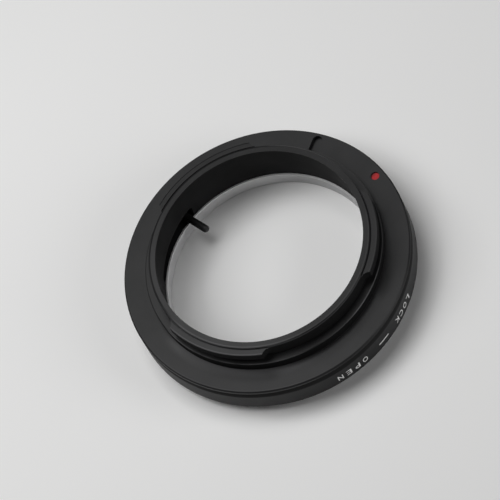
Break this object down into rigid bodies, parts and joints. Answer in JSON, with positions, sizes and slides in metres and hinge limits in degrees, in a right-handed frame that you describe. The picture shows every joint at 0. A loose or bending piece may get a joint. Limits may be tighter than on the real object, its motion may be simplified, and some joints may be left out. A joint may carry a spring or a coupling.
{
  "type": "lens mount adapter",
  "caption": "Glassless lens mount adapter ring with a camera bayonet, a breech-lock lens seat and a turning control ring whose inner pin works the lens's aperture lever.",
  "frame": {"origin": "on the ring's axis, in the plane of the lens seat", "axes": "+Z along the ring's axis from the lens seat to the camera bayonet; +X through the middle of the first bayonet lug"},
  "size_m": [0.065, 0.065, 0.0158],
  "materials": {
    "black_anodised": "satin",
    "blackened_steel": "satin",
    "satin_chrome": "satin",
    "bright_steel": "satin",
    "red_enamel": "gloss"
  },
  "bodies": {
    "adapter": {"mount_body": "black_anodised", "lens_mount_ring": "satin_chrome", "mount_screws": "bright_steel", "camera_index_dot": "red_enamel", "lens_index_dot": "red_enamel"},
    "control": {"control_ring": "black_anodised", "aperture_pin": "blackened_steel"}
  },
  "joints": [
    {"name": "control_turn", "type": "hinge", "parent": "adapter", "child": "control", "pos_m": [0, 0, 0.00485], "axis": [0, 0, 1], "range_deg": [-1.8, 36.5]}
  ]
}
